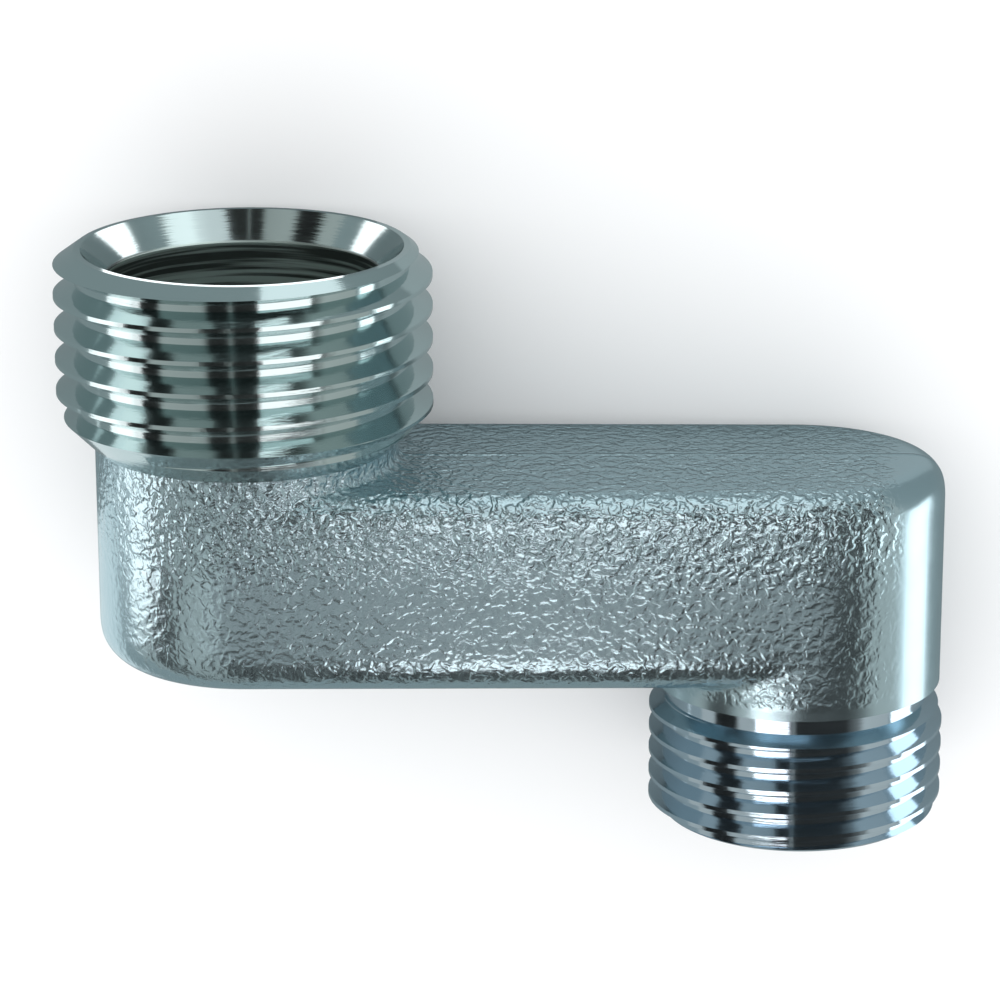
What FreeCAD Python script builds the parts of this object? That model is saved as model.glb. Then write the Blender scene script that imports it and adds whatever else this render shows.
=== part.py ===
import FreeCAD, Part
import math
import os
import Sketcher

# Eccentric pipe adapter: one brass casting with a large male thread at the top of one end and a
# small male thread under the other. It is drawn upright, with the large thread's axis on Z and
# the small thread's axis at +X, and is then laid down on its back, as it comes to rest.

Vector = FreeCAD.Vector
doc = FreeCAD.newDocument("eccentric_pipe_adapter")

# Sizes, in millimetres and degrees, each with what it measures
SIZES = [
    ("axis_offset", 31.0, "distance between the two thread axes"),
    ("large_major", 20.955, "major diameter of the G 1/2 thread"),
    ("large_pitch", 1.814, "pitch of the G 1/2 thread"),
    ("small_major", 16.662, "major diameter of the G 3/8 thread, whose fine form is left off"),
    ("depth_share", 0.6403, "thread depth as a share of the pitch"),
    ("land_share", 0.1667, "width of a crest or a root as a share of the pitch"),
    ("flank_angle", 27.5, "slope of each flank, half the thread angle"),
    ("small_thread_length", 6.3, "small end's face to the end of its last crest"),
    ("small_lead_depth", 0.9, "radial size of the small end's lead-in chamfer"),
    ("small_lead_length", 0.6, "axial size of the small end's lead-in chamfer"),
    ("neck_length", 1.65, "run-out neck between the small thread's last crest and the foot"),
    ("neck_depth", 0.93, "depth of that neck under the small thread's crests"),
    ("foot_height", 1.3, "round foot of the casting under the arm"),
    ("arm_height", 11.65, "height of the arm at its parting ridge"),
    ("casting_radius", 8.28, "outer radius of the casting round either thread axis"),
    ("draft_angle", 2.4, "fall of the arm's top and bottom from the parting ridge"),
    ("top_round", 1.3, "rounding of the arm's top edges"),
    ("bottom_round", 2.1, "rounding of the arm's bottom edges"),
    ("boss_height", 0.9, "straight boss between the arm and the large thread"),
    ("large_section", 11.1, "large end from the boss to its face"),
    ("large_first_root", 1.6, "large end's face to its first root"),
    ("large_lead_depth", 1.2, "radial size of the large end's lead-in chamfer"),
    ("large_lead_length", 0.86, "axial size of the large end's lead-in chamfer"),
    ("thread_wall", 1.7, "wall between the large thread's roots and the turned bore"),
    ("large_bore_depth", 8.8, "large end's face to the end of the turned bore"),
    ("seat_rise", 1.3, "radial size of the seat cone at the large end's mouth"),
    ("seat_depth", 1.65, "axial depth of that seat cone"),
    ("bore_ledge", 1.52, "ledge where the cast channel goes on, narrower, under the turned bore"),
    ("neck_wall", 1.5, "wall between the neck and the small end's bore"),
    ("side_wall", 2.68, "wall of the arm beside the passage"),
    ("passage_round", 3.0, "rounding of the passage's long edges"),
    ("wall", 2.15, "wall of the arm above and under the passage"),
]

sheet = doc.addObject("Spreadsheet::Sheet", "sizes")
for row, (alias, value, meaning) in enumerate(SIZES, start=1):
    sheet.set("A%d" % row, meaning)
    sheet.set("B%d" % row, str(value))
    sheet.setAlias("B%d" % row, alias)
doc.recompute()


class Measure:
    """A length that carries both its number and the sheet expression it comes from."""

    def __init__(self, text, number):
        self.text = text
        self.number = number

    def joined(self, sign, other, number):
        other_text = other.text if isinstance(other, Measure) else repr(other)
        return Measure("(%s %s %s)" % (self.text, sign, other_text), number)

    def __add__(self, other):
        return self.joined("+", other, self.number + number_of(other))

    def __sub__(self, other):
        return self.joined("-", other, self.number - number_of(other))

    def __mul__(self, other):
        return self.joined("*", other, self.number * number_of(other))

    def __truediv__(self, other):
        return self.joined("/", other, self.number / number_of(other))


def number_of(value):
    return value.number if isinstance(value, Measure) else value


def cell(alias):
    return Measure("sizes." + alias, float(sheet.get(alias)))


def sine(angle):
    return Measure("sin(%s * 1 deg)" % angle.text, math.sin(math.radians(angle.number)))


def cosine(angle):
    return Measure("cos(%s * 1 deg)" % angle.text, math.cos(math.radians(angle.number)))


def tangent(angle):
    return sine(angle) / cosine(angle)


NOTHING = Measure("0", 0.0)

# Heights above the small end's face, and radii
axis_offset = cell("axis_offset")
neck_bottom = cell("small_thread_length")
neck_top = neck_bottom + cell("neck_length")
arm_bottom = neck_top + cell("foot_height")
arm_height = cell("arm_height")
arm_middle = arm_bottom + arm_height / 2
arm_top = arm_bottom + arm_height
boss_top = arm_top + cell("boss_height")
full_height = boss_top + cell("large_section")
casting_radius = cell("casting_radius")
large_radius = cell("large_major") / 2
small_radius = cell("small_major") / 2
flank_angle = cell("flank_angle")
wall = cell("wall")

adapter = doc.addObject("PartDesign::Body", "adapter")
adapter.Label = "adapter_body"


def origin_part(role):
    return next(part for part in adapter.Origin.OriginFeatures if part.Role == role)


def new_sketch(name, plane, along=None, lift=None):
    """Sketch on one of the body's own planes, moved along it or lifted off it."""
    sketch = adapter.newObject("Sketcher::SketchObject", name)
    sketch.AttachmentSupport = [(origin_part(plane), "")]
    sketch.MapMode = "FlatFace"
    if along:
        sketch.setExpression("AttachmentOffset.Base.x", along.text)
    if lift:
        sketch.setExpression("AttachmentOffset.Base.z", lift.text)
    return sketch


def hold(sketch, kind, axis, side, distance):
    """Hold the start of a side at a distance from the sketch's origin, or on its axis."""
    if distance is NOTHING:
        sketch.addConstraint(Sketcher.Constraint("PointOnObject", side, 1, axis))
        return
    index = sketch.addConstraint(Sketcher.Constraint(kind, -1, 1, side, 1, distance.number))
    sketch.setExpression("Constraints[%d]" % index, distance.text)


def arc_side(start, end, centre, radius):
    """Counter-clockwise arc from one corner to the next."""
    circle = Part.Circle(centre, Vector(0, 0, 1), radius)
    return Part.ArcOfCircle(circle, circle.parameter(start), circle.parameter(end))


def add_outline(sketch, corners, arcs=None):
    """Closed outline run counter-clockwise through corners given as pairs of measures.

    arcs gives, by the number of a side, the centre and radius that make it an arc.
    """
    arcs = arcs or {}
    places = [Vector(across.number, up.number, 0) for across, up in corners]
    ends = places[1:] + places[:1]
    sides = []
    for number, (start, end) in enumerate(zip(places, ends)):
        if number in arcs:
            across, up, radius = arcs[number]
            shape = arc_side(start, end, Vector(across.number, up.number, 0), radius.number)
        else:
            shape = Part.LineSegment(start, end)
        sides.append(sketch.addGeometry(shape, False))
    for side, following in zip(sides, sides[1:] + sides[:1]):
        sketch.addConstraint(Sketcher.Constraint("Coincident", side, 2, following, 1))
    for side, (across, up) in zip(sides, corners):
        hold(sketch, "DistanceX", -2, side, across)
        hold(sketch, "DistanceY", -1, side, up)
    for number, (across, up, radius) in arcs.items():
        index = sketch.addConstraint(Sketcher.Constraint("Radius", sides[number], radius.number))
        sketch.setExpression("Constraints[%d]" % index, radius.text)


def new_feature(kind, name, **settings):
    """Feature of the body with its plain settings; measures are bound to the sheet."""
    feature = adapter.newObject("PartDesign::" + kind, name)
    for setting, value in settings.items():
        if isinstance(value, Measure):
            feature.setExpression(setting, value.text)
        else:
            setattr(feature, setting, value)
    before = 0.0 if adapter.Shape.isNull() else adapter.Shape.Volume
    adapter.Tip = feature
    doc.recompute()
    change = adapter.Shape.Volume - before
    if abs(change) < 1.0:
        raise RuntimeError("%s left the solid as it was" % name)
    return feature


def turned(kind, name, sketch):
    """Revolution or groove about the upright axis of its sketch."""
    return new_feature(kind, name, Profile=sketch, ReferenceAxis=(sketch, ["V_Axis"]), Angle=360)


def mirrored(name, half):
    """A half feature together with its reflection in the parting plane."""
    return new_feature("Mirrored", name, Originals=[half], MirrorPlane=(origin_part("XZ_Plane"), [""]))


# Arm: half of its section runs between the two thread axes, and is mirrored in the parting plane.
# Its top and bottom fall away from that plane, and meet the upright wall in rounded edges.
draft_angle = cell("draft_angle")
draft_fall = casting_radius * tangent(draft_angle)
edge_slope = tangent((draft_angle * -1 + 90) / 2)

bottom_round = cell("bottom_round")
low_reach = bottom_round * edge_slope
low_corner = arm_bottom + draft_fall
low_start = (casting_radius - low_reach * cosine(draft_angle), low_corner - low_reach * sine(draft_angle))
low_end = (casting_radius, low_corner + low_reach)
low_arc = (casting_radius - bottom_round, low_corner + low_reach, bottom_round)

top_round = cell("top_round")
high_reach = top_round * edge_slope
high_corner = arm_top - draft_fall
high_start = (casting_radius, high_corner - high_reach)
high_end = (casting_radius - high_reach * cosine(draft_angle), high_corner + high_reach * sine(draft_angle))
high_arc = (casting_radius - top_round, high_corner - high_reach, top_round)

arm_sketch = new_sketch("arm_section", "YZ_Plane")
add_outline(
    arm_sketch,
    [(NOTHING, arm_bottom), low_start, low_end, high_start, high_end, (NOTHING, arm_top)],
    {1: low_arc, 3: high_arc},
)
half_arm = new_feature("Pad", "half_arm", Profile=arm_sketch, Length=axis_offset)
arm = mirrored("arm", half_arm)

# Large end: rounded end of the arm, boss, the cone that widens to the thread, and its blank
cone_rise = large_radius - casting_radius
large_sketch = new_sketch("large_end_profile", "XZ_Plane")
add_outline(
    large_sketch,
    [
        (NOTHING, arm_bottom),
        low_start,
        low_end,
        (casting_radius, boss_top),
        (large_radius, boss_top + cone_rise),
        (large_radius, full_height - cell("large_lead_length")),
        (large_radius - cell("large_lead_depth"), full_height),
        (NOTHING, full_height),
    ],
    {1: low_arc},
)
large_end = turned("Revolution", "large_end", large_sketch)

# Small end: blank of the thread, its run-out neck, foot and the rounded end of the arm
neck_depth = cell("neck_depth")
neck_radius = small_radius - neck_depth
small_sketch = new_sketch("small_end_profile", "XZ_Plane", along=axis_offset)
add_outline(
    small_sketch,
    [
        (NOTHING, NOTHING),
        (small_radius - cell("small_lead_depth"), NOTHING),
        (small_radius, cell("small_lead_length")),
        (small_radius, neck_bottom),
        (neck_radius, neck_bottom + neck_depth * tangent(flank_angle)),
        (neck_radius, neck_top),
        (casting_radius, neck_top),
        high_start,
        high_end,
        (NOTHING, arm_top),
    ],
    {7: high_arc},
)
small_end = turned("Revolution", "small_end", small_sketch)

# Large thread: rings of its true pitch, depth and flanks, cut into the turned blank
pitch = cell("large_pitch")
depth = pitch * cell("depth_share")
overshoot = 0.1
half_root = pitch * cell("land_share") / 2
half_mouth = half_root + (depth + overshoot) * tangent(flank_angle)
root_radius = large_radius - depth
mouth_radius = large_radius + overshoot
first_root = full_height - cell("large_first_root")
thread_sketch = new_sketch("large_thread_root", "XZ_Plane")
add_outline(
    thread_sketch,
    [
        (root_radius, first_root - half_root),
        (mouth_radius, first_root - half_mouth),
        (mouth_radius, first_root + half_mouth),
        (root_radius, first_root + half_root),
    ],
)
first_groove = turned("Groove", "large_thread_groove", thread_sketch)
groove_count = (cell("large_section") - cone_rise) / pitch
large_thread = new_feature(
    "LinearPattern",
    "large_thread_rings",
    Originals=[first_groove],
    Direction=(thread_sketch, ["V_Axis"]),
    Reversed=True,
    Mode="Spacing",
    Offset=pitch,
    Occurrences=Measure("round(%s)" % groove_count.text, round(groove_count.number)),
)

# Waterway: a round-sided passage along the arm, and a bore into it from each end
floor = arm_bottom + wall
roof = arm_top - wall
passage_half_width = casting_radius - cell("side_wall")
passage_round = cell("passage_round")
passage_flat = passage_half_width - passage_round
passage_low_arc = (passage_flat, floor + passage_round, passage_round)
passage_high_arc = (passage_flat, roof - passage_round, passage_round)
passage_sketch = new_sketch("passage_section", "YZ_Plane")
add_outline(
    passage_sketch,
    [
        (NOTHING, floor),
        (passage_flat, floor),
        (passage_half_width, floor + passage_round),
        (passage_half_width, roof - passage_round),
        (passage_flat, roof),
        (NOTHING, roof),
    ],
    {1: passage_low_arc, 3: passage_high_arc},
)
half_passage = new_feature(
    "Pocket", "half_passage", Profile=passage_sketch, Length=axis_offset, Reversed=True
)
passage = mirrored("passage", half_passage)

bore_radius = root_radius - cell("thread_wall")
bore_bottom = full_height - cell("large_bore_depth")
channel_radius = bore_radius - cell("bore_ledge")
large_bore_sketch = new_sketch("large_bore_profile", "XZ_Plane")
add_outline(
    large_bore_sketch,
    [
        (NOTHING, floor),
        (channel_radius, floor),
        (channel_radius, bore_bottom),
        (bore_radius, bore_bottom),
        (bore_radius, full_height - cell("seat_depth")),
        (bore_radius + cell("seat_rise"), full_height),
        (NOTHING, full_height),
    ],
)
large_bore = turned("Groove", "large_bore", large_bore_sketch)

small_bore_radius = neck_radius - cell("neck_wall")
small_bore_sketch = new_sketch("small_bore_profile", "XZ_Plane", along=axis_offset)
add_outline(
    small_bore_sketch,
    [(NOTHING, NOTHING), (small_bore_radius, NOTHING), (small_bore_radius, roof), (NOTHING, roof)],
)
small_bore = turned("Groove", "small_bore", small_bore_sketch)

# Rest: on its back, on the crests of both threads, with the origin under the middle of its box
rest_tilt = math.asin((large_radius.number - small_radius.number) / axis_offset.number)
right_reach = axis_offset.number * math.cos(rest_tilt) + small_radius.number
middle_x = (right_reach - large_radius.number) / 2
adapter.Placement = FreeCAD.Placement(
    Vector(-middle_x, -full_height.number / 2, large_radius.number),
    FreeCAD.Rotation(0, math.degrees(rest_tilt), -90),
)
doc.recompute()

for item in doc.Objects:
    if "Invalid" in item.State or "Error" in item.State:
        raise RuntimeError("%s did not build: %s" % (item.Name, item.State))
if adapter.Shape.isNull() or not adapter.Shape.isValid() or len(adapter.Shape.Solids) != 1:
    raise RuntimeError("%s is not one valid solid" % adapter.Label)

os.makedirs("parts", exist_ok=True)
adapter.Shape.exportStep("parts/%s.step" % adapter.Label)
box = adapter.Shape.BoundBox
print("box %.3f %.3f %.3f to %.3f %.3f %.3f" % (box.XMin, box.YMin, box.ZMin, box.XMax, box.YMax, box.ZMax))
print("volume %.1f cubic millimetres" % adapter.Shape.Volume)
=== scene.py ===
import math

import bpy
from bpy.props import FloatProperty, FloatVectorProperty, PointerProperty
from bpy.types import Operator, Panel, PropertyGroup
from mathutils import Matrix, Vector


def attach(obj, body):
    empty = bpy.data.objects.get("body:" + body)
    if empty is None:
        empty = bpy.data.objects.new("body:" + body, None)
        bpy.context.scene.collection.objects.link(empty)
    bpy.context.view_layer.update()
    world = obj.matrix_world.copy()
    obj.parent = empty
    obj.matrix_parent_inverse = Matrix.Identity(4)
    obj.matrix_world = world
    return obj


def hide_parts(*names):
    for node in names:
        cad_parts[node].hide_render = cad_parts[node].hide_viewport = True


bl_info = {
    "name": "Eccentric pipe adapter",
    "version": (1, 0, 0),
    "blender": (4, 5, 0),
    "location": "3D View > Sidebar > Adapter",
    "description": "Plated brass adapter with two offset male threads, lying on its back",
    "category": "Object",
}

# The adapter is modelled upright, with the small end's face at zero height and the large thread's
# axis on Z, and each piece is then laid down on its back, where the frame holds the solid.

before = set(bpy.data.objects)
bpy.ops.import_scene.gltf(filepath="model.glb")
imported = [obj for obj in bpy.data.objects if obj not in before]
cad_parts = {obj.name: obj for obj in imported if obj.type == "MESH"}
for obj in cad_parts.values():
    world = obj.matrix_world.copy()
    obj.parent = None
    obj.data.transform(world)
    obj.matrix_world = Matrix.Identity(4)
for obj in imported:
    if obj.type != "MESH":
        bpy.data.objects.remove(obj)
SOLID = "adapter_body"


def length(name, default, description):
    """A size of the object, in metres."""
    return FloatProperty(
        name=name, default=default, description=description, min=0.0, unit="LENGTH", precision=5
    )


def colour(name, default, description):
    """A colour of the object, as linear red, green and blue."""
    return FloatVectorProperty(
        name=name, default=default, description=description, min=0.0, max=1.0, size=3, subtype="COLOR"
    )


class CastingSizes(PropertyGroup):
    """Sizes of the rough casting between the two turned ends."""

    axis_offset: length("Axis offset", 0.031, "Distance between the two thread axes")
    large_radius: length("Radius at the large end", 0.00843, "Outer radius under the large thread")
    small_radius: length("Radius at the small end", 0.00815, "Outer radius over the small thread")
    arm_bottom: length("Arm bottom", 0.00932, "Height of the arm's flat bottom")
    arm_top: length("Arm top", 0.0209, "Height of the ridge along the arm's top")
    draft: FloatProperty(
        name="Draft",
        default=math.radians(1.3),
        description="Fall of the arm's top from the parting plane",
        subtype="ANGLE",
    )
    top_round: length("Top rounding", 0.0018, "Rounding of the arm's top edges")
    bottom_round: length("Bottom rounding", 0.0021, "Rounding of the arm's bottom edges")
    boss_top: length("Boss top", 0.0218, "Height where the casting meets the large turned end")
    foot_bottom: length("Foot bottom", 0.00795, "Height where the casting meets the small end's neck")
    wall: length("Wall", 0.00215, "Wall above and under the passage")
    passage_half_width: length("Passage half width", 0.0056, "Half the width of the passage along the arm")
    channel_radius: length("Channel radius", 0.0061, "Radius of the channel under the large bore")
    grain_step: length("Grain step", 0.0002, "Spacing of the points that carry the rough skin")


class LargeEndSizes(PropertyGroup):
    """Sizes of the large turned end and its thread."""

    crest_radius: length("Crest radius", 0.0104775, "Radius of the thread's crests")
    pitch: length("Pitch", 0.001814, "Rise of one turn of the thread")
    depth: length("Thread depth", 0.001162, "Depth of the thread's roots under its crests")
    full_height: length("Full height", 0.0329, "Height of the end's face")
    left_root: length("Root height", 0.02945, "Height of one root on the left side")
    lead_depth: length("Lead-in depth", 0.0012, "Radial size of the chamfer into the thread")
    lead_length: length("Lead-in length", 0.00086, "Axial size of the chamfer into the thread")
    bore_radius: length("Bore radius", 0.00762, "Radius of the turned bore")
    bore_depth: length("Bore depth", 0.0088, "Depth of the turned bore")
    seat_rise: length("Seat rise", 0.0013, "Radial size of the seat cone in the mouth")
    seat_depth: length("Seat depth", 0.00165, "Axial depth of the seat cone in the mouth")


class SmallEndSizes(PropertyGroup):
    """Sizes of the small turned end and its thread."""

    crest_radius: length("Crest radius", 0.008331, "Radius of the thread's crests")
    pitch: length("Pitch", 0.001337, "Rise of one turn of the thread")
    depth: length("Thread depth", 0.0008, "Depth of the thread's roots under its crests")
    thread_top: length("Thread top", 0.0069, "Height where the thread runs out into the neck")
    left_root: length("Root height", 0.0041165, "Height of one root on the left side")
    lead_depth: length("Lead-in depth", 0.0009, "Radial size of the chamfer into the thread")
    lead_length: length("Lead-in length", 0.0006, "Axial size of the chamfer into the thread")
    neck_radius: length("Neck radius", 0.0074, "Radius of the neck over the thread")
    bore_radius: length("Bore radius", 0.0059, "Radius of the small end's bore")


class PlatingColours(PropertyGroup):
    """Colours of the plating and of what is round the object."""

    cast_skin: colour("Cast skin", (0.515, 0.655, 0.70), "Plating on the blasted casting")
    large_skin: colour("Large end's skin", (0.54, 0.64, 0.64), "Plating on the large turned end")
    small_skin: colour("Small end's skin", (0.60, 0.71, 0.79), "Plating on the small turned end")
    # Painted shade: a darker colour put on the bore walls where shade falls inside the bores.
    painted_bore_shade: colour("Painted bore shade", (0.34, 0.40, 0.38), "Darker skin inside the bores")
    floor: colour("Floor", (0.93, 0.94, 0.95), "Surface that the adapter lies on")
    # Painted reflection: a darker floor colour that only the metal's reflections see.
    floor_painted_reflection: colour(
        "Painted floor reflection", (0.23, 0.275, 0.285), "That surface as the plating mirrors it"
    )


# Modelling

ROOT_SHARE = 0.2
THREAD_FLANK = math.radians(27.5)
ROUND_STEPS = 192
SINK = 0.0006
MERGE = 1e-7


def start_fresh():
    """Nothing selected and no object in edit mode."""
    if bpy.context.object is not None and bpy.context.object.mode != "OBJECT":
        bpy.ops.object.mode_set(mode="OBJECT")
    bpy.ops.object.select_all(action="DESELECT")


def take_new(name):
    """The primitive just added, under its own name."""
    piece = bpy.context.active_object
    piece.name = name
    piece.data.name = name
    return piece


def pick_only(piece):
    start_fresh()
    piece.select_set(True)
    bpy.context.view_layer.objects.active = piece


def edit(piece, select_mode="VERT"):
    pick_only(piece)
    bpy.ops.object.mode_set(mode="EDIT")
    bpy.ops.mesh.select_mode(type=select_mode)


def leave_edit():
    bpy.ops.object.mode_set(mode="OBJECT")


def select_points(piece, test):
    """Select in edit mode the points whose place passes the test."""
    leave_edit()
    for face in piece.data.polygons:
        face.select = False
    for side in piece.data.edges:
        side.select = False
    for point in piece.data.vertices:
        point.select = bool(test(point.co))
    bpy.ops.object.mode_set(mode="EDIT")
    bpy.ops.mesh.select_mode(type="VERT")


def keep_selected_edges(piece, test):
    """Of the edges selected in edit mode, keep those whose middle passes the test."""
    leave_edit()
    points = piece.data.vertices
    kept = []
    for side in piece.data.edges:
        middle = (points[side.vertices[0]].co + points[side.vertices[1]].co) / 2
        if side.select and test(middle):
            kept.append(side.index)
    for face in piece.data.polygons:
        face.select = False
    for point in points:
        point.select = False
    for side in piece.data.edges:
        side.select = False
    for index in kept:
        piece.data.edges[index].select = True
    bpy.ops.object.mode_set(mode="EDIT")


def apply_place(piece):
    pick_only(piece)
    bpy.ops.object.transform_apply(location=True, rotation=True, scale=True)


def apply_modifier(piece, kind, **settings):
    pick_only(piece)
    modifier = piece.modifiers.new(kind.lower(), kind)
    for setting, value in settings.items():
        setattr(modifier, setting, value)
    bpy.ops.object.modifier_apply(modifier=modifier.name)


def combine(piece, other, operation):
    """Join another solid to the piece or cut it out, and remove the other."""
    apply_modifier(piece, "BOOLEAN", object=other, operation=operation, solver="EXACT")
    pick_only(other)
    bpy.ops.object.delete()
    if not piece.data.polygons:
        raise RuntimeError("%s is empty after %s" % (piece.name, operation))


def add_cylinder(name, radius, low, high, across=0.0):
    start_fresh()
    bpy.ops.mesh.primitive_cylinder_add(
        vertices=ROUND_STEPS, radius=radius, depth=high - low, location=(across, 0.0, (low + high) / 2)
    )
    piece = take_new(name)
    apply_place(piece)
    return piece


def turn_profile(name, profile):
    """A circle drawn out along a closed profile of radius and height pairs, round the Z axis."""
    radius, height = profile[0]
    start_fresh()
    bpy.ops.mesh.primitive_circle_add(vertices=ROUND_STEPS, radius=radius, location=(0.0, 0.0, height))
    piece = take_new(name)
    apply_place(piece)
    edit(piece)
    bpy.ops.mesh.select_all(action="SELECT")
    for next_radius, next_height in profile[1:] + profile[:1]:
        bpy.ops.mesh.extrude_region_move(
            TRANSFORM_OT_translate={"value": (0.0, 0.0, next_height - height)}
        )
        share = next_radius / radius
        bpy.ops.transform.resize(value=(share, share, 1.0), center_override=(0.0, 0.0, next_height))
        radius, height = next_radius, next_height
    bpy.ops.mesh.select_all(action="SELECT")
    bpy.ops.mesh.remove_doubles(threshold=MERGE)
    bpy.ops.mesh.normals_make_consistent(inside=False)
    leave_edit()
    return piece


def thread_cutter(name, crest_radius, pitch, depth, lowest_root, turns):
    """Solid of a right-hand thread's groove, drawn round the Z axis from its section."""
    overshoot = 0.0002
    root_radius = crest_radius - depth
    mouth_radius = crest_radius + overshoot
    root_width = pitch * ROOT_SHARE
    mouth_width = root_width + 2 * (depth + overshoot) * math.tan(THREAD_FLANK)
    middle_radius = (root_radius + mouth_radius) / 2
    start_fresh()
    bpy.ops.mesh.primitive_plane_add(
        size=1.0, location=(middle_radius, 0.0, lowest_root), rotation=(math.pi / 2, 0.0, 0.0)
    )
    cutter = take_new(name)
    cutter.scale = (mouth_radius - root_radius, mouth_width, 1.0)
    apply_place(cutter)
    edit(cutter)
    select_points(cutter, lambda place: place.x < middle_radius)
    bpy.ops.transform.resize(
        value=(1.0, 1.0, root_width / mouth_width), center_override=(root_radius, 0.0, lowest_root)
    )
    bpy.ops.mesh.select_all(action="SELECT")
    bpy.ops.mesh.delete(type="ONLY_FACE")
    leave_edit()
    apply_modifier(
        cutter,
        "SCREW",
        axis="Z",
        angle=2 * math.pi,
        screw_offset=pitch,
        iterations=turns,
        steps=ROUND_STEPS,
        render_steps=ROUND_STEPS,
    )
    edit(cutter)
    bpy.ops.mesh.select_all(action="SELECT")
    bpy.ops.mesh.fill_holes(sides=0)
    bpy.ops.mesh.select_all(action="SELECT")
    bpy.ops.mesh.normals_make_consistent(inside=False)
    leave_edit()
    return cutter


def laid_down(scene):
    """Turn and shift from the upright adapter to where it rests on the crests of both threads."""
    large = scene.adapter_large_end
    small = scene.adapter_small_end
    offset = scene.adapter_casting.axis_offset
    tilt = math.asin((large.crest_radius - small.crest_radius) / offset)
    middle = (offset * math.cos(tilt) + small.crest_radius - large.crest_radius) / 2
    turn = Matrix(
        (
            (math.cos(tilt), -math.sin(tilt), 0.0),
            (0.0, 0.0, 1.0),
            (-math.sin(tilt), -math.cos(tilt), 0.0),
        )
    )
    shift = Vector((-middle, -large.full_height / 2, large.crest_radius))
    return Matrix.Translation(shift) @ turn.to_4x4()


def hand_over(piece, scene, finish, across=0.0, crisp=30.0):
    """Lay a finished piece down, give it its finish and tie it to the solid it stands for."""
    pick_only(piece)
    piece.matrix_world = laid_down(scene) @ Matrix.Translation((across, 0.0, 0.0))
    apply_place(piece)
    bpy.ops.object.shade_smooth_by_angle(angle=math.radians(crisp))
    piece.data.materials.clear()
    piece.data.materials.append(finish)
    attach(piece, "root")
    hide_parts(SOLID)


# Finishes


def add_node(tree, kind, values=None, **settings):
    node = tree.nodes.new(kind)
    for setting, value in settings.items():
        setattr(node, setting, value)
    for socket, value in (values or {}).items():
        node.inputs[socket].default_value = value
    return node


def new_group(name, inputs, outputs):
    """Shader group with number inputs, given with their defaults, and number outputs."""
    group = bpy.data.node_groups.new(name, "ShaderNodeTree")
    group.interface.new_socket("Place", in_out="INPUT", socket_type="NodeSocketVector")
    for socket, default in inputs.items():
        made = group.interface.new_socket(socket, in_out="INPUT", socket_type="NodeSocketFloat")
        made.default_value = default
    for socket in outputs:
        group.interface.new_socket(socket, in_out="OUTPUT", socket_type="NodeSocketFloat")
    return group, group.nodes.new("NodeGroupInput"), group.nodes.new("NodeGroupOutput")


def math_node(tree, operation, first, second=None, third=None, clamp=False):
    """Math node fed by sockets or numbers, giving back its result socket."""
    node = add_node(tree, "ShaderNodeMath", operation=operation, use_clamp=clamp)
    for index, source in enumerate((first, second, third)):
        if source is None:
            continue
        if isinstance(source, (int, float)):
            node.inputs[index].default_value = source
        else:
            tree.links.new(source, node.inputs[index])
    return node.outputs[0]


def smooth_mask(tree, value, low, high):
    """Nothing below low and full above high, with a soft step between them."""
    node = add_node(tree, "ShaderNodeMapRange", interpolation_type="SMOOTHSTEP")
    tree.links.new(value, node.inputs["Value"])
    for socket, source in (("From Min", low), ("From Max", high)):
        if isinstance(source, (int, float)):
            node.inputs[socket].default_value = source
        else:
            tree.links.new(source, node.inputs[socket])
    return node.outputs["Result"]


def blasted_grain_group():
    """Rough skin of a blasted casting: domes of about one size with a finer grain over them."""
    fine_scale = 1.7
    broad_scale = 0.22
    fine_height = 0.35
    group, given, out = new_group("blasted_grain", {"Grain Size": 0.0005}, ("Height", "Shade"))
    links = group.links
    scale = math_node(group, "DIVIDE", 1.0, given.outputs["Grain Size"])
    grains = add_node(
        group, "ShaderNodeTexNoise", {"Detail": 1.0, "Roughness": 0.5, "Distortion": 0.4}
    )
    links.new(given.outputs["Place"], grains.inputs["Vector"])
    links.new(scale, grains.inputs["Scale"])
    fine = add_node(group, "ShaderNodeTexNoise", {"Detail": 3.0, "Roughness": 0.6})
    links.new(given.outputs["Place"], fine.inputs["Vector"])
    links.new(math_node(group, "MULTIPLY", scale, fine_scale), fine.inputs["Scale"])
    broad = add_node(group, "ShaderNodeTexNoise", {"Detail": 2.0, "Roughness": 0.5})
    links.new(given.outputs["Place"], broad.inputs["Vector"])
    links.new(math_node(group, "MULTIPLY", scale, broad_scale), broad.inputs["Scale"])
    domes = smooth_mask(group, grains.outputs["Fac"], 0.3, 0.7)
    height = math_node(group, "MULTIPLY_ADD", fine.outputs["Fac"], fine_height, domes)
    links.new(height, out.inputs["Height"])
    links.new(broad.outputs["Fac"], out.inputs["Shade"])
    return group


def lathe_marks_group():
    """Fine circles that the tool leaves round both thread axes, which lie along Y."""
    along_circle = 0.03
    broad_scale = 0.3
    group, given, out = new_group("lathe_marks", {"Step": 0.00012}, ("Height", "Streak"))
    links = group.links
    stretch = add_node(group, "ShaderNodeVectorMath", operation="MULTIPLY")
    stretch.inputs[1].default_value = (along_circle, 1.0, along_circle)
    links.new(given.outputs["Place"], stretch.inputs[0])
    scale = math_node(group, "DIVIDE", 1.0, given.outputs["Step"])
    marks = add_node(group, "ShaderNodeTexNoise", {"Detail": 3.0, "Roughness": 0.65})
    links.new(stretch.outputs["Vector"], marks.inputs["Vector"])
    links.new(scale, marks.inputs["Scale"])
    broad = add_node(group, "ShaderNodeTexNoise", {"Detail": 2.0, "Roughness": 0.6})
    links.new(stretch.outputs["Vector"], broad.inputs["Vector"])
    links.new(math_node(group, "MULTIPLY", scale, broad_scale), broad.inputs["Scale"])
    links.new(marks.outputs["Fac"], out.inputs["Height"])
    links.new(broad.outputs["Fac"], out.inputs["Streak"])
    return group


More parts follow.
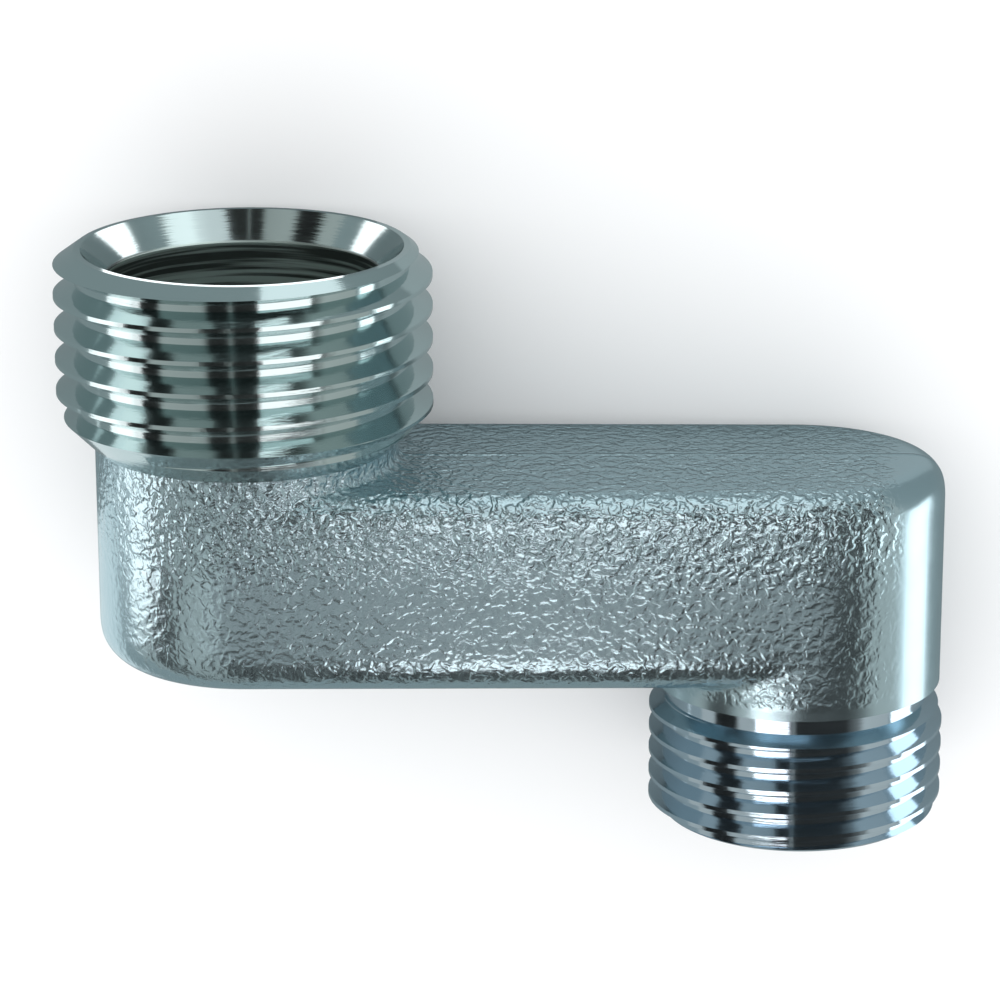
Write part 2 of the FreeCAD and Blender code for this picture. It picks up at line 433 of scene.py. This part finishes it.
def bore_mask_group():
    """Full inside a bore round an axis along Y, given by its place and radius."""
    wall_reach = 0.00003
    edge_reach = 0.00012
    group, given, out = new_group(
        "bore_mask", {"Axis X": 0.0, "Axis Z": 0.0, "Bore Radius": 0.006}, ("Mask",)
    )
    split = add_node(group, "ShaderNodeSeparateXYZ")
    group.links.new(given.outputs["Place"], split.inputs[0])
    across = math_node(group, "SUBTRACT", split.outputs["X"], given.outputs["Axis X"])
    up = math_node(group, "SUBTRACT", split.outputs["Z"], given.outputs["Axis Z"])
    across_square = math_node(group, "MULTIPLY", across, across)
    up_square = math_node(group, "MULTIPLY", up, up)
    radius = math_node(group, "SQRT", math_node(group, "ADD", across_square, up_square))
    inner = math_node(group, "ADD", given.outputs["Bore Radius"], wall_reach)
    outer = math_node(group, "ADD", given.outputs["Bore Radius"], edge_reach)
    inside = math_node(group, "SUBTRACT", 1.0, smooth_mask(group, radius, inner, outer))
    group.links.new(inside, out.inputs["Mask"])
    return group


def plain_metal(name, colour_value):
    """Material of a bare metal, with its tree and shader."""
    material = bpy.data.materials.new(name)
    material.use_nodes = True
    tree = material.node_tree
    shader = tree.nodes["Principled BSDF"]
    shader.inputs["Base Color"].default_value = (*colour_value, 1.0)
    shader.inputs["Metallic"].default_value = 1.0
    return material, tree, shader


def cast_plate(scene):
    """Chrome on the blasted casting, with a thin bright line along its parting plane."""
    line_crest, line_foot, line_height = 0.00002, 0.00022, 0.9
    low_grain, added_high_grain = 0.35, 0.9
    left_grain, added_inner_grain = 0.35, 0.65
    least_roughness, added_roughness = 0.17, 0.14
    colours = scene.adapter_colours
    material, tree, shader = plain_metal("cast_plate", colours.cast_skin)
    links = tree.links
    place = add_node(tree, "ShaderNodeTexCoord").outputs["Object"]
    grain = add_node(tree, "ShaderNodeGroup")
    grain.node_tree = blasted_grain_group()
    grain.inputs["Grain Size"].default_value = 0.00046
    links.new(place, grain.inputs["Place"])

    back = laid_down(scene).inverted()
    off_plane = add_node(tree, "ShaderNodeVectorMath", operation="DOT_PRODUCT")
    links.new(place, off_plane.inputs[0])
    off_plane.inputs[1].default_value = (back[1][0], back[1][1], back[1][2])
    from_plane = math_node(tree, "ADD", off_plane.outputs["Value"], back[1][3])
    distance = math_node(tree, "ABSOLUTE", from_plane)
    line = math_node(tree, "SUBTRACT", 1.0, smooth_mask(tree, distance, line_crest, line_foot))

    split = add_node(tree, "ShaderNodeSeparateXYZ")
    links.new(place, split.inputs[0])
    across, along = split.outputs["X"], split.outputs["Y"]
    high = smooth_mask(tree, along, -0.002, 0.0025)
    upper = math_node(tree, "MULTIPLY_ADD", high, added_high_grain, low_grain)
    off_left = smooth_mask(tree, across, -0.023, -0.016)
    inner = math_node(tree, "MULTIPLY_ADD", off_left, added_inner_grain, left_grain)
    outer = math_node(tree, "SUBTRACT", 1.0, smooth_mask(tree, across, 0.0205, 0.0225))
    lip = smooth_mask(tree, along, -0.0081, -0.0075)
    sides = math_node(tree, "MULTIPLY", inner, outer)
    roughened = math_node(tree, "MULTIPLY", math_node(tree, "MULTIPLY", upper, sides), lip)
    skin_height = math_node(tree, "MULTIPLY", grain.outputs["Height"], roughened)
    height = math_node(tree, "MULTIPLY_ADD", line, line_height, skin_height)
    bump = add_node(tree, "ShaderNodeBump", {"Strength": 1.0, "Distance": 0.00008})
    links.new(height, bump.inputs["Height"])
    links.new(bump.outputs["Normal"], shader.inputs["Normal"])

    shade = math_node(
        tree, "MULTIPLY_ADD", grain.outputs["Shade"], added_roughness, least_roughness
    )
    links.new(shade, shader.inputs["Roughness"])
    return material


def turned_plate(name, skin_colour, bore_shade_colour, axis, bore_radius):
    """Bright chrome over lathe marks, with painted shade inside the bore: a darker colour, streaked at
    random, on a duller surface.
    """
    dark_streak, bright_streak = 0.3, 1.9
    least_roughness, added_roughness, bore_roughness = 0.05, 0.1, 0.3
    material, tree, shader = plain_metal(name, skin_colour)
    links = tree.links
    place = add_node(tree, "ShaderNodeTexCoord").outputs["Object"]
    marks = add_node(tree, "ShaderNodeGroup")
    marks.node_tree = bpy.data.node_groups.get("lathe_marks") or lathe_marks_group()
    links.new(place, marks.inputs["Place"])
    bore = add_node(tree, "ShaderNodeGroup")
    bore.node_tree = bpy.data.node_groups.get("bore_mask") or bore_mask_group()
    bore.inputs["Axis X"].default_value = axis.x
    bore.inputs["Axis Z"].default_value = axis.z
    bore.inputs["Bore Radius"].default_value = bore_radius
    links.new(place, bore.inputs["Place"])

    bump = add_node(tree, "ShaderNodeBump", {"Strength": 1.0, "Distance": 0.000006})
    links.new(marks.outputs["Height"], bump.inputs["Height"])
    links.new(bump.outputs["Normal"], shader.inputs["Normal"])

    skin = add_node(tree, "ShaderNodeMix", data_type="RGBA")
    skin.inputs["A"].default_value = (*skin_colour, 1.0)
    links.new(bore.outputs["Mask"], skin.inputs["Factor"])
    # Painted shade: where the bore mask is full, the colour turns to the darker bore shade, streaked at
    # random.
    streaks = add_node(tree, "ShaderNodeMix", data_type="RGBA")
    streaks.inputs["A"].default_value = (*(part * dark_streak for part in bore_shade_colour), 1.0)
    streaks.inputs["B"].default_value = (*(part * bright_streak for part in bore_shade_colour), 1.0)
    links.new(smooth_mask(tree, marks.outputs["Streak"], 0.42, 0.6), streaks.inputs["Factor"])
    links.new(streaks.outputs["Result"], skin.inputs["B"])
    links.new(skin.outputs["Result"], shader.inputs["Base Color"])

    bright = math_node(
        tree, "MULTIPLY_ADD", marks.outputs["Streak"], added_roughness, least_roughness
    )
    dull = math_node(tree, "MULTIPLY_ADD", bore.outputs["Mask"], bore_roughness, bright)
    links.new(dull, shader.inputs["Roughness"])
    return material


# Pieces


class ADAPTER_OT_casting(Operator):
    """Model the rough casting: arm, boss and foot with their blends, and the waterway in them"""

    bl_idname = "adapter.casting"
    bl_label = "Casting"

    def execute(self, context):
        scene = context.scene
        sizes = scene.adapter_casting
        casting = self.model_arm(sizes)
        over = 0.0015
        inside = (sizes.arm_bottom + sizes.arm_top) / 2
        boss = add_cylinder("boss", sizes.large_radius, inside, sizes.boss_top + over)
        foot = add_cylinder(
            "foot", sizes.small_radius, sizes.foot_bottom - over, inside, sizes.axis_offset
        )
        pick_only(casting)
        boss.select_set(True)
        foot.select_set(True)
        bpy.ops.object.join()
        apply_modifier(casting, "REMESH", mode="VOXEL", voxel_size=sizes.grain_step)
        apply_modifier(casting, "SMOOTH", factor=0.5, iterations=14)
        self.trim(casting, sizes.boss_top, 1.0)
        self.trim(casting, sizes.foot_bottom, -1.0)
        combine(casting, self.model_waterway(sizes, scene), "DIFFERENCE")
        hand_over(casting, scene, cast_plate(scene), crisp=40.0)
        return {"FINISHED"}

    def model_arm(self, sizes):
        """A disc pulled out into a long round-ended slab, with a drafted top and rounded edges."""
        steps = 160
        spare = 0.002
        start_fresh()
        bpy.ops.mesh.primitive_circle_add(
            vertices=steps,
            radius=sizes.large_radius,
            fill_type="NGON",
            location=(0.0, 0.0, sizes.arm_bottom - spare),
            rotation=(0.0, 0.0, math.pi / steps),
        )
        arm = take_new("adapter_casting")
        apply_place(arm)
        edit(arm)
        select_points(arm, lambda place: place.x > 0.0)
        bpy.ops.transform.translate(value=(sizes.axis_offset, 0.0, 0.0))
        share = sizes.small_radius / sizes.large_radius
        bpy.ops.transform.resize(
            value=(share, share, 1.0), center_override=(sizes.axis_offset, 0.0, 0.0)
        )
        bpy.ops.mesh.select_all(action="SELECT")
        bpy.ops.mesh.extrude_region_move(
            TRANSFORM_OT_translate={"value": (0.0, 0.0, sizes.arm_top - sizes.arm_bottom + 2 * spare)}
        )
        bpy.ops.mesh.select_all(action="SELECT")
        bpy.ops.mesh.normals_make_consistent(inside=False)
        top_out = (math.sin(sizes.draft), math.cos(sizes.draft))
        planes = (
            (sizes.arm_top, (0.0, top_out[0], top_out[1])),
            (sizes.arm_top, (0.0, -top_out[0], top_out[1])),
            (sizes.arm_bottom, (0.0, 0.0, -1.0)),
        )
        for height, out in planes:
            bpy.ops.mesh.select_all(action="SELECT")
            bpy.ops.mesh.bisect(
                plane_co=(0.0, 0.0, height), plane_no=out, use_fill=True, clear_outer=True, threshold=MERGE
            )
        middle = (sizes.arm_bottom + sizes.arm_top) / 2
        for width, up in ((sizes.top_round, 1.0), (sizes.bottom_round, -1.0)):
            bpy.ops.mesh.select_all(action="DESELECT")
            bpy.ops.mesh.select_mode(type="EDGE")
            bpy.ops.mesh.edges_select_sharp(sharpness=math.radians(60))
            keep_selected_edges(arm, lambda place: (place.z - middle) * up > 0.0)
            bpy.ops.mesh.bevel(offset=width, segments=8, profile=0.5, affect="EDGES", clamp_overlap=False)
        leave_edit()
        return arm

    def trim(self, casting, height, up):
        """Face the casting off square above or below a height."""
        edit(casting)
        bpy.ops.mesh.select_all(action="SELECT")
        bpy.ops.mesh.bisect(
            plane_co=(0.0, 0.0, height),
            plane_no=(0.0, 0.0, up),
            use_fill=True,
            clear_outer=True,
            threshold=MERGE,
        )
        leave_edit()

    def model_waterway(self, sizes, scene):
        """Passage along the arm, with a channel into it from above and a bore from below."""
        passage_round = 0.003
        over = 0.002
        floor = sizes.arm_bottom + sizes.wall
        roof = sizes.arm_top - sizes.wall
        start_fresh()
        bpy.ops.mesh.primitive_cube_add(
            size=1.0, location=(sizes.axis_offset / 2, 0.0, (floor + roof) / 2)
        )
        waterway = take_new("waterway")
        waterway.scale = (sizes.axis_offset, 2 * sizes.passage_half_width, roof - floor)
        apply_place(waterway)
        edit(waterway, "EDGE")
        bpy.ops.mesh.select_all(action="SELECT")
        half_length = sizes.axis_offset / 2
        nearby = 0.001
        keep_selected_edges(
            waterway, lambda place: abs(place.y) > nearby and abs(place.x - half_length) < nearby
        )
        bpy.ops.mesh.bevel(offset=passage_round, segments=12, profile=0.5, affect="EDGES")
        leave_edit()
        channel = add_cylinder("channel", sizes.channel_radius, floor, sizes.boss_top + over)
        combine(waterway, channel, "UNION")
        bore_radius = scene.adapter_small_end.bore_radius
        bore = add_cylinder("bore", bore_radius, sizes.foot_bottom - over, roof, sizes.axis_offset)
        combine(waterway, bore, "UNION")
        return waterway


class ADAPTER_OT_large_end(Operator):
    """Turn the large end with its seat cone, bore and cone, and cut its right-hand thread"""

    bl_idname = "adapter.large_end"
    bl_label = "Large threaded end"

    def execute(self, context):
        scene = context.scene
        sizes = scene.adapter_large_end
        casting = scene.adapter_casting
        crest = sizes.crest_radius
        top = sizes.full_height
        cone_top = casting.boss_top + crest - casting.large_radius
        profile = [
            (casting.large_radius - SINK, casting.boss_top - SINK),
            (casting.large_radius - SINK, casting.boss_top),
            (casting.large_radius, casting.boss_top),
            (crest, cone_top),
            (crest, top - sizes.lead_length),
            (crest - sizes.lead_depth, top),
            (sizes.bore_radius + sizes.seat_rise, top),
            (sizes.bore_radius, top - sizes.seat_depth),
            (sizes.bore_radius, top - sizes.bore_depth),
            (casting.channel_radius, top - sizes.bore_depth),
            (casting.channel_radius, casting.boss_top - SINK),
        ]
        end = turn_profile("adapter_large_end", profile)
        lowest_root = sizes.left_root - 5.5 * sizes.pitch
        turns = 9
        groove = thread_cutter("large_groove", crest, sizes.pitch, sizes.depth, lowest_root, turns)
        combine(end, groove, "DIFFERENCE")
        axis = laid_down(scene) @ Vector((0.0, 0.0, 0.0))
        colours = scene.adapter_colours
        finish = turned_plate(
            "large_plate", colours.large_skin, colours.painted_bore_shade, axis, sizes.bore_radius
        )
        hand_over(end, scene, finish)
        return {"FINISHED"}


class ADAPTER_OT_small_end(Operator):
    """Turn the small end with its neck and bore, and cut its right-hand thread"""

    bl_idname = "adapter.small_end"
    bl_label = "Small threaded end"

    def execute(self, context):
        scene = context.scene
        sizes = scene.adapter_small_end
        casting = scene.adapter_casting
        crest = sizes.crest_radius
        run_out = (crest - sizes.neck_radius) * math.tan(THREAD_FLANK)
        profile = [
            (crest - sizes.lead_depth, 0.0),
            (crest, sizes.lead_length),
            (crest, sizes.thread_top - run_out),
            (sizes.neck_radius, sizes.thread_top),
            (sizes.neck_radius, casting.foot_bottom + SINK),
            (sizes.bore_radius, casting.foot_bottom + SINK),
            (sizes.bore_radius, 0.0),
        ]
        end = turn_profile("adapter_small_end", profile)
        lowest_root = sizes.left_root - 4.5 * sizes.pitch
        turns = 7
        groove = thread_cutter("small_groove", crest, sizes.pitch, sizes.depth, lowest_root, turns)
        combine(end, groove, "DIFFERENCE")
        axis = laid_down(scene) @ Vector((casting.axis_offset, 0.0, 0.0))
        colours = scene.adapter_colours
        finish = turned_plate(
            "small_plate", colours.small_skin, colours.painted_bore_shade, axis, sizes.bore_radius
        )
        hand_over(end, scene, finish, across=casting.axis_offset)
        return {"FINISHED"}


# Stage


class ADAPTER_OT_stage(Operator):
    """Lay the floor, hang the soft lights and set the camera over the adapter"""

    bl_idname = "adapter.stage"
    bl_label = "Floor, lights and camera"

    def execute(self, context):
        scene = context.scene
        self.lay_floor(scene)
        self.light_surroundings(scene)
        self.hang_cards()
        self.set_camera(scene)
        return {"FINISHED"}

    def lay_floor(self, scene):
        start_fresh()
        bpy.ops.mesh.primitive_plane_add(size=4.0, location=(0.0, 0.0, 0.0))
        floor = take_new("floor")
        material = bpy.data.materials.new("pale_floor")
        material.use_nodes = True
        tree = material.node_tree
        shader = tree.nodes["Principled BSDF"]
        colours = scene.adapter_colours
        # Painted reflection: glossy rays see the floor in a darker colour than the camera does.
        shade = self.seen_in_metal(tree, colours.floor, colours.floor_painted_reflection)
        tree.links.new(shade, shader.inputs["Base Color"])
        shader.inputs["Roughness"].default_value = 0.9
        shader.inputs["Specular IOR Level"].default_value = 0.0
        floor.data.materials.append(material)

    def seen_in_metal(self, tree, plain, mirrored):
        """A colour, and another or a socket in its place where the metal mirrors the surroundings."""
        mix = add_node(tree, "ShaderNodeMix", data_type="RGBA")
        mix.inputs["A"].default_value = (*plain, 1.0)
        if isinstance(mirrored, bpy.types.NodeSocket):
            tree.links.new(mirrored, mix.inputs["B"])
        else:
            mix.inputs["B"].default_value = (*mirrored, 1.0)
        path = add_node(tree, "ShaderNodeLightPath")
        tree.links.new(path.outputs["Is Glossy Ray"], mix.inputs["Factor"])
        return mix.outputs["Result"]

    def hang_card(self, name, centre, size, facing, level, tint):
        """A bright card that only the metal mirrors, in metres, of an even level."""
        start_fresh()
        bpy.ops.object.light_add(type="AREA")
        card = bpy.context.active_object
        card.name = name
        card.location = centre
        card.rotation_euler = Vector(facing).to_track_quat("-Z", "Y").to_euler()
        card.data.shape = "RECTANGLE"
        card.data.size, card.data.size_y = size
        card.data.energy = level * math.pi * size[0] * size[1]
        card.data.color = tint
        card.visible_camera = False
        card.visible_diffuse = False

    def light_surroundings(self, scene):
        """Bright and dark stripes from left to right overhead, as panels round a studio table give."""
        world = bpy.data.worlds.new("studio")
        world.use_nodes = True
        scene.world = world
        tree = world.node_tree
        links = tree.links
        background = tree.nodes["Background"]
        direction = add_node(tree, "ShaderNodeTexCoord").outputs["Generated"]
        split = add_node(tree, "ShaderNodeSeparateXYZ")
        links.new(direction, split.inputs[0])
        angle = math_node(tree, "ARCTAN2", split.outputs["X"], split.outputs["Z"])
        share = math_node(tree, "MULTIPLY_ADD", angle, 1 / math.pi, 0.5)
        ramp = add_node(tree, "ShaderNodeValToRGB")
        links.new(share, ramp.inputs["Fac"])
        green_tint = (0.94, 1.0, 0.98)
        stripes = [
            (-90, 0.5),
            (-76, 0.5),
            (-73, 0.015),
            (-53, 0.015),
            (-50, 0.5),
            (-20, 0.42),
            (-16, 0.02),
            (-3, 0.02),
            (-1, 0.4),
            (1, 0.02),
            (46, 0.03),
            (58, 0.2),
            (64, 0.55),
            (90, 0.5),
        ]
        points = ramp.color_ramp.elements
        while len(points) < len(stripes):
            points.new(0.5)
        for point, (degrees, level) in zip(points, stripes):
            point.position = degrees / 180 + 0.5
            point.color = (*(level * part for part in green_tint), 1.0)
        plain_light = (1.3, 1.3, 1.3)
        seen = self.seen_in_metal(tree, plain_light, ramp.outputs["Color"])
        links.new(seen, background.inputs["Color"])
        background.inputs["Strength"].default_value = 1.0
        scene.view_settings.view_transform = "Standard"

    def hang_cards(self):
        """Near cards, each placed for the part of the adapter that mirrors it."""
        white = (1.0, 0.96, 0.97)
        cool = (0.94, 0.98, 1.0)
        down, up, back, right = (0, 0, -1), (0, 0, 1), (0, -1, 0), (1, 0, 0)
        cards = (
            ("over_crests", (0.0095, 0.0060, 0.0426), (0.0290, 0.0120), down, 1.7, white),
            ("over_flanks", (0.0050, -0.0220, 0.0426), (0.0180, 0.0080), down, 2.4, white),
            ("over_arm", (0.0020, -0.0080, 0.0426), (0.0640, 0.0120), down, 0.30, cool),
            ("left_stripe", (-0.0450, -0.0010, 0.0220), (0.0220, 0.0160), right, 1.4, white),
            ("right_band", (0.1360, -0.0400, 0.0005), (0.1900, 0.0900), up, 1.8, cool),
            ("left_glow", (-0.0440, -0.0140, 0.0005), (0.0340, 0.0220), up, 0.6, cool),
            ("front_rim", (-0.0170, 0.0225, 0.0003), (0.0140, 0.0050), up, 1.9, white),
            ("upper_edge", (0.0100, 0.0450, 0.0280), (0.0400, 0.0460), back, 0.9, cool),
            ("behind_arm", (0.0100, 0.0150, 0.0003), (0.0360, 0.0190), up, 0.17, cool),
        )
        for name, centre, size, facing, level, tint in cards:
            self.hang_card(name, centre, size, facing, level, tint)

    def set_camera(self, scene):
        """Camera a little above the upright adapter's front, laid down with it."""
        elevation = math.radians(17.214)
        distance = 0.2303
        lens, shift = 147.57, -0.02308
        target = Vector((0.01548, 0.0, 0.018218))
        right = Vector((1.0, 0.0, 0.0))
        up = Vector((0.0, math.sin(elevation), math.cos(elevation)))
        back = Vector((0.0, -math.cos(elevation), math.sin(elevation)))
        place = Matrix((right, up, back)).transposed().to_4x4()
        place.translation = target + back * distance
        start_fresh()
        bpy.ops.object.camera_add()
        camera = bpy.context.active_object
        camera.name = "camera"
        camera.matrix_world = laid_down(scene) @ place
        camera.data.sensor_width = 36.0
        camera.data.lens = lens
        camera.data.shift_x = shift
        camera.data.clip_start = 0.01
        camera.data.clip_end = 10.0
        scene.camera = camera


class ADAPTER_PT_panel(Panel):
    """Sizes and colours of the adapter, and what models each part of it"""

    bl_idname = "ADAPTER_PT_panel"
    bl_label = "Eccentric pipe adapter"
    bl_space_type = "VIEW_3D"
    bl_region_type = "UI"
    bl_category = "Adapter"

    def draw(self, context):
        layout = self.layout
        for operator in OPERATORS:
            layout.operator(operator.bl_idname)
        for name in GROUPS:
            box = layout.box()
            group = getattr(context.scene, name)
            for size in group.__annotations__:
                box.prop(group, size)


GROUPS = {
    "adapter_casting": CastingSizes,
    "adapter_large_end": LargeEndSizes,
    "adapter_small_end": SmallEndSizes,
    "adapter_colours": PlatingColours,
}
OPERATORS = (ADAPTER_OT_casting, ADAPTER_OT_large_end, ADAPTER_OT_small_end, ADAPTER_OT_stage)


def register():
    for kind in (*GROUPS.values(), *OPERATORS, ADAPTER_PT_panel):
        bpy.utils.register_class(kind)
    for name, kind in GROUPS.items():
        setattr(bpy.types.Scene, name, PointerProperty(type=kind))


def unregister():
    for name in GROUPS:
        delattr(bpy.types.Scene, name)
    for kind in reversed((*GROUPS.values(), *OPERATORS, ADAPTER_PT_panel)):
        bpy.utils.unregister_class(kind)


def main():
    register()
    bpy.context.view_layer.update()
    bpy.ops.adapter.casting()
    bpy.ops.adapter.large_end()
    bpy.ops.adapter.small_end()
    bpy.ops.adapter.stage()


if __name__ == "__main__":
    main()
